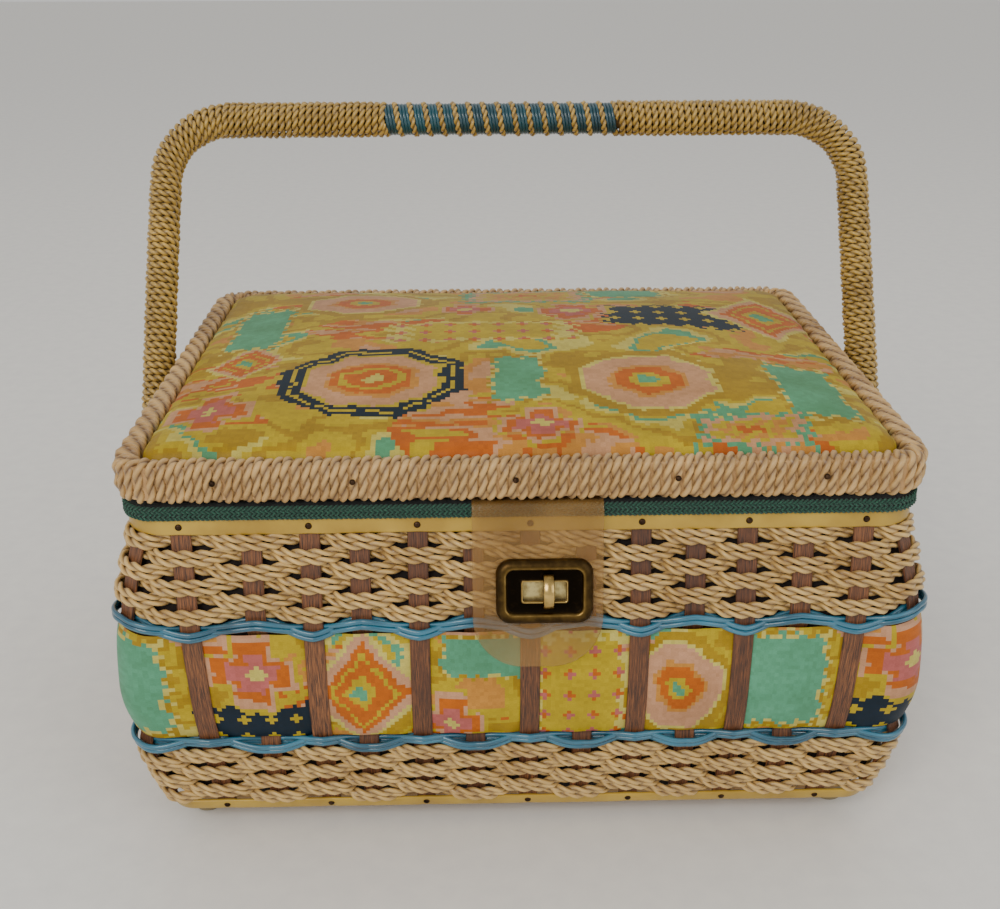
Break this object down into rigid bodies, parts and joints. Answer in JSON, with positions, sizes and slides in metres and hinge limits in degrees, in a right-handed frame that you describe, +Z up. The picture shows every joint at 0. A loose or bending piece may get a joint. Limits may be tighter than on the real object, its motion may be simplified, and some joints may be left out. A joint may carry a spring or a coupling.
{
  "type": "wicker sewing basket",
  "caption": "Rectangular wicker sewing basket with a padded hinged lid, a vinyl strap with a turn lock and a wrapped swing handle.",
  "frame": {"origin": "centre of the floor under the feet", "axes": "+X along the length to the right, front with the lock faces -Y, +Z up"},
  "size_m": [0.3548, 0.2626, 0.2817],
  "materials": {
    "board": "matt",
    "feet_rubber": "matt",
    "stake_wood": "satin",
    "paper_cord": "satin twisted paper cord",
    "rim_cord": "satin twisted paper cord",
    "handle_cord": "satin twisted paper cord",
    "blue_cane": "gloss",
    "print_cloth": "printed cotton sateen",
    "mustard_plastic": "gloss",
    "tack_steel": "dark bronze",
    "green_braid": "matt braid",
    "frame_wood": "plain",
    "lining_cloth": "plain cotton",
    "hinge_brass": "antique",
    "pivot_steel": "dull",
    "lock_brass": "antique",
    "amber_vinyl": "clear soft vinyl"
  },
  "bodies": {
    "basket": {"base_board": "board", "feet": "feet_rubber", "front_stakes": "stake_wood", "back_stakes": "stake_wood", "lower_weave": "paper_cord", "lower_twining": "blue_cane", "fabric_band": "print_cloth", "upper_twining": "blue_cane", "upper_weave": "paper_cord", "base_strip": "mustard_plastic", "rim_strip": "mustard_plastic", "base_tacks": "tack_steel", "rim_tacks": "tack_steel", "rim_braid": "green_braid", "top_frame": "frame_wood", "wall_lining": "lining_cloth", "floor_pad": "lining_cloth", "hinge_lower_left": "hinge_brass", "hinge_lower_right": "hinge_brass", "hinge_pin_left": "hinge_brass", "hinge_pin_right": "hinge_brass", "hinge_screws_lower": "hinge_brass", "pivot_spacers": "pivot_steel", "lock_base": "lock_brass"},
    "lid": {"lid_frame": "frame_wood", "lid_rim_wrap": "rim_cord", "lid_board": "board", "lid_lining": "lining_cloth", "lid_cushion": "print_cloth", "lid_tacks": "tack_steel", "hinge_upper_left": "hinge_brass", "hinge_upper_right": "hinge_brass", "hinge_screws_upper": "hinge_brass", "strap_tacks": "tack_steel"},
    "pivots": {"pivot_bolts": "pivot_steel", "pivot_washers": "pivot_steel", "pivot_nuts": "pivot_steel"},
    "handle": {"handle_core": "frame_wood", "handle_wrap_left": "handle_cord", "handle_wrap_right": "handle_cord", "grip_wrap_blue": "blue_cane", "grip_wrap_tan": "handle_cord"},
    "knob": {"turn_knob": "lock_brass"},
    "strap": {"clasp_flap": "amber_vinyl", "clasp_plate": "lock_brass"}
  },
  "joints": [
    {"name": "lid_open", "type": "hinge", "parent": "basket", "child": "lid", "pos_m": [0, 0.12195, 0.1588], "axis": [-1, 0, 0], "range_deg": [0, 75]},
    {"name": "handle_push_back", "type": "hinge", "parent": "basket", "child": "pivots", "pos_m": [0, 0, 0.137], "axis": [-1, 0, 0], "range_deg": [0, 58.5]},
    {"name": "handle_swing", "type": "hinge", "parent": "pivots", "child": "handle", "pos_m": [0, 0, 0.137], "axis": [-1, 0, 0], "range_deg": [-120, 0]},
    {"name": "knob_turn", "type": "hinge", "parent": "basket", "child": "knob", "pos_m": [0.0095, -0.12427, 0.124], "axis": [0, -0.9731, 0.2305], "range_deg": [0, 90]},
    {"name": "strap_lift", "type": "hinge", "parent": "lid", "child": "strap", "pos_m": [0.0055, -0.1186, 0.1585], "axis": [-1, 0, 0], "range_deg": [0, 80], "deforming": ["clasp_flap", "clasp_plate"]}
  ],
  "couplings": [
    {"joint": "handle_push_back", "follows": "lid_open", "ratio": 0.78}
  ]
}
